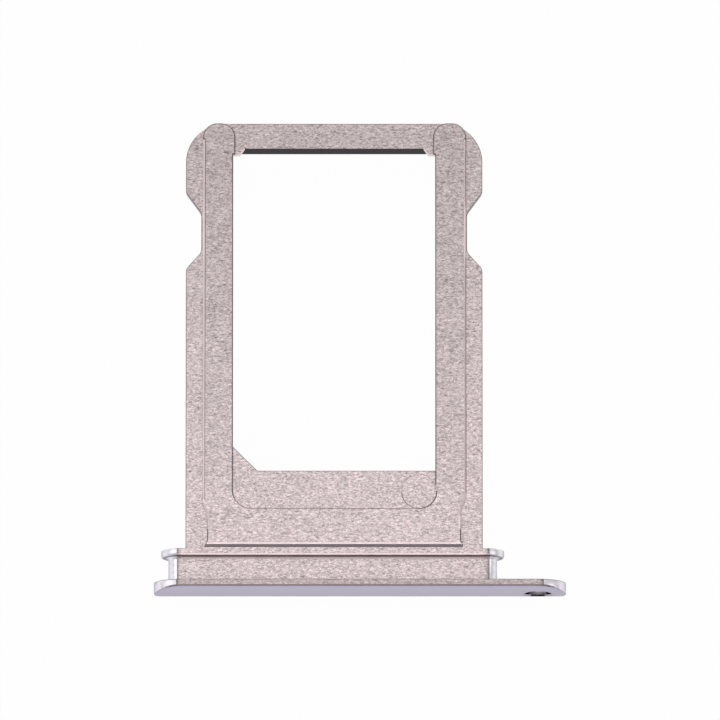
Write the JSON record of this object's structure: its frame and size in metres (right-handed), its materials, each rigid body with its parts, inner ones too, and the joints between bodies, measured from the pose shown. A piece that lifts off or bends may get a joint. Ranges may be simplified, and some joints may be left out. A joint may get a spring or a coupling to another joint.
{
  "type": "sim card tray",
  "caption": "One-piece metal tray for a nano card, with a crowned faceplate, an eject pin hole, a seal groove and a frame open to the contacts.",
  "frame": {"origin": "middle of the underside of the box round the tray", "axes": "+X along the faceplate towards the pin hole, +Y from the faceplate towards the far end that goes into the device first, +Z out of the contact side"},
  "size_m": [0.015, 0.0172, 0.002],
  "materials": {
    "blasted_metal": "fine blasted, warm silver, with the faceplate and the rounded ends smooth"
  },
  "bodies": {
    "root": {"tray": "blasted_metal"}
  },
  "joints": []
}
